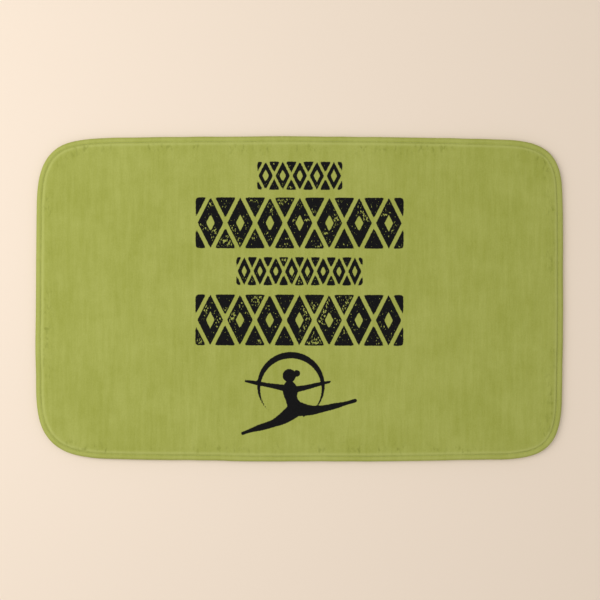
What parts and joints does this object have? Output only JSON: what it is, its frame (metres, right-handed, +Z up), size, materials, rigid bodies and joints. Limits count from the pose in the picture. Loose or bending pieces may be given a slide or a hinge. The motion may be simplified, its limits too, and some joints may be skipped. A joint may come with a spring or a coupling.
{
  "type": "bath mat",
  "caption": "Rectangular memory-foam bath mat with large soft corners, a rolled and stitched edge, a plush top and an anti-slip dotted underside.",
  "frame": {"origin": "on the floor under the middle of the mat", "axes": "+X along the long sides, +Y across the mat, +Z up out of the soft face"},
  "size_m": [0.864, 0.533, 0.0122],
  "materials": {
    "microfibre": "short brushed pile, matt",
    "foam": "open-cell foam, matt",
    "backing": "woven, matt",
    "dots": "soft and slightly satin",
    "thread": "matt sewing thread",
    "label": "smooth woven tape"
  },
  "bodies": {
    "root": {"face_cover": "microfibre", "foam_core": "foam", "backing_cloth": "backing", "needle_thread": "thread", "bobbin_thread": "thread", "overlock_thread": "thread", "grip_row_01": "dots", "grip_row_02": "dots", "grip_row_03": "dots", "grip_row_04": "dots", "grip_row_05": "dots", "grip_row_06": "dots", "grip_row_07": "dots", "grip_row_08": "dots", "grip_row_09": "dots", "grip_row_10": "dots", "grip_row_11": "dots", "grip_row_12": "dots", "grip_row_13": "dots", "grip_row_14": "dots", "grip_row_15": "dots", "grip_row_16": "dots", "grip_row_17": "dots", "grip_row_18": "dots", "grip_row_19": "dots", "grip_row_20": "dots", "grip_row_21": "dots", "grip_row_22": "dots", "grip_row_23": "dots", "grip_row_24": "dots", "grip_row_25": "dots", "grip_row_26": "dots", "grip_row_27": "dots", "grip_row_28": "dots", "grip_row_29": "dots", "grip_row_30": "dots", "grip_row_31": "dots", "grip_row_32": "dots", "grip_row_33": "dots", "grip_row_34": "dots", "grip_row_35": "dots", "care_label": "label", "label_tack": "thread"}
  },
  "joints": []
}
